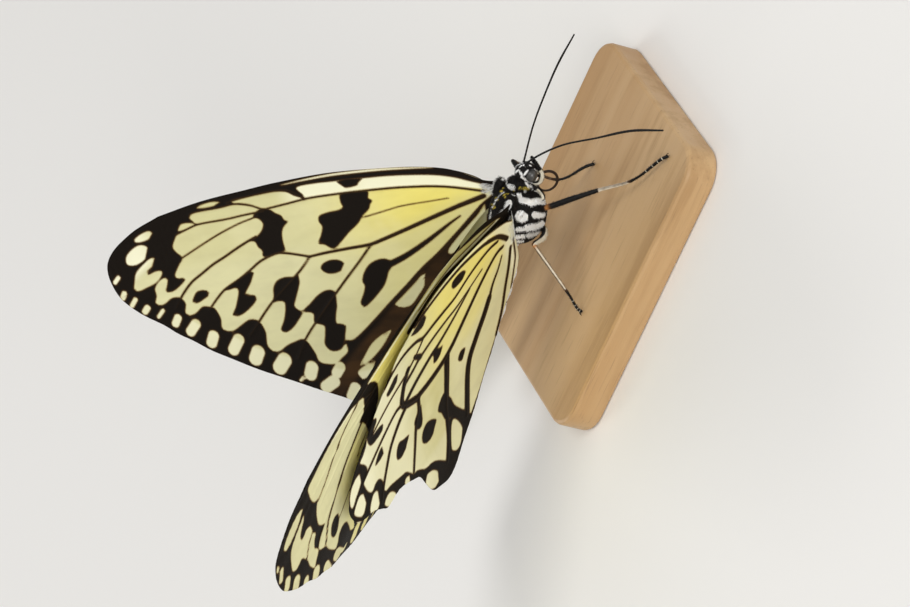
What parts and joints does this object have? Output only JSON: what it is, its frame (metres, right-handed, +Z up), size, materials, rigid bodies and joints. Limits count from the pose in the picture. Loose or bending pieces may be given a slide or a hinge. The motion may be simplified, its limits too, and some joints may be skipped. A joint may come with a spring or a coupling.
{
  "type": "paper kite butterfly model",
  "caption": "Still, life-size paper kite butterfly with half-raised, black-patterned cream wings, standing on a small plain wooden base.",
  "frame": {"origin": "centre of the underside of the wooden base", "axes": "+Z up, -Y the way the head points, +X the butterfly's left side"},
  "size_m": [0.0889, 0.0739, 0.0547],
  "materials": {
    "body": "black scales and hair with white spots",
    "eye": "glossy dark compound eye",
    "pale": "white scales with a black tip",
    "dark": "satin black chitin with fine scales",
    "wing": "cream membrane with black veins, blotches and margin",
    "wood": "satin varnished wood"
  },
  "bodies": {
    "root": {"thorax": "body", "abdomen": "body", "neck": "body", "head": "body", "eye_left": "eye", "eye_right": "eye", "tegula_left": "body", "tegula_right": "body", "palp_left": "pale", "palp_right": "pale", "proboscis": "dark", "antenna_left": "dark", "antenna_right": "dark", "foreleg_left": "body", "foreleg_right": "body", "forewing_left": "wing", "forewing_right": "wing", "hindwing_left": "wing", "hindwing_right": "wing", "leg_mid_left_femur": "dark", "leg_mid_left_tibia": "dark", "leg_mid_right_femur": "dark", "leg_mid_right_tibia": "dark", "leg_hind_left_femur": "dark", "leg_hind_left_tibia": "dark", "leg_hind_right_femur": "dark", "leg_hind_right_tibia": "dark", "stand_base": "wood"}
  },
  "joints": []
}
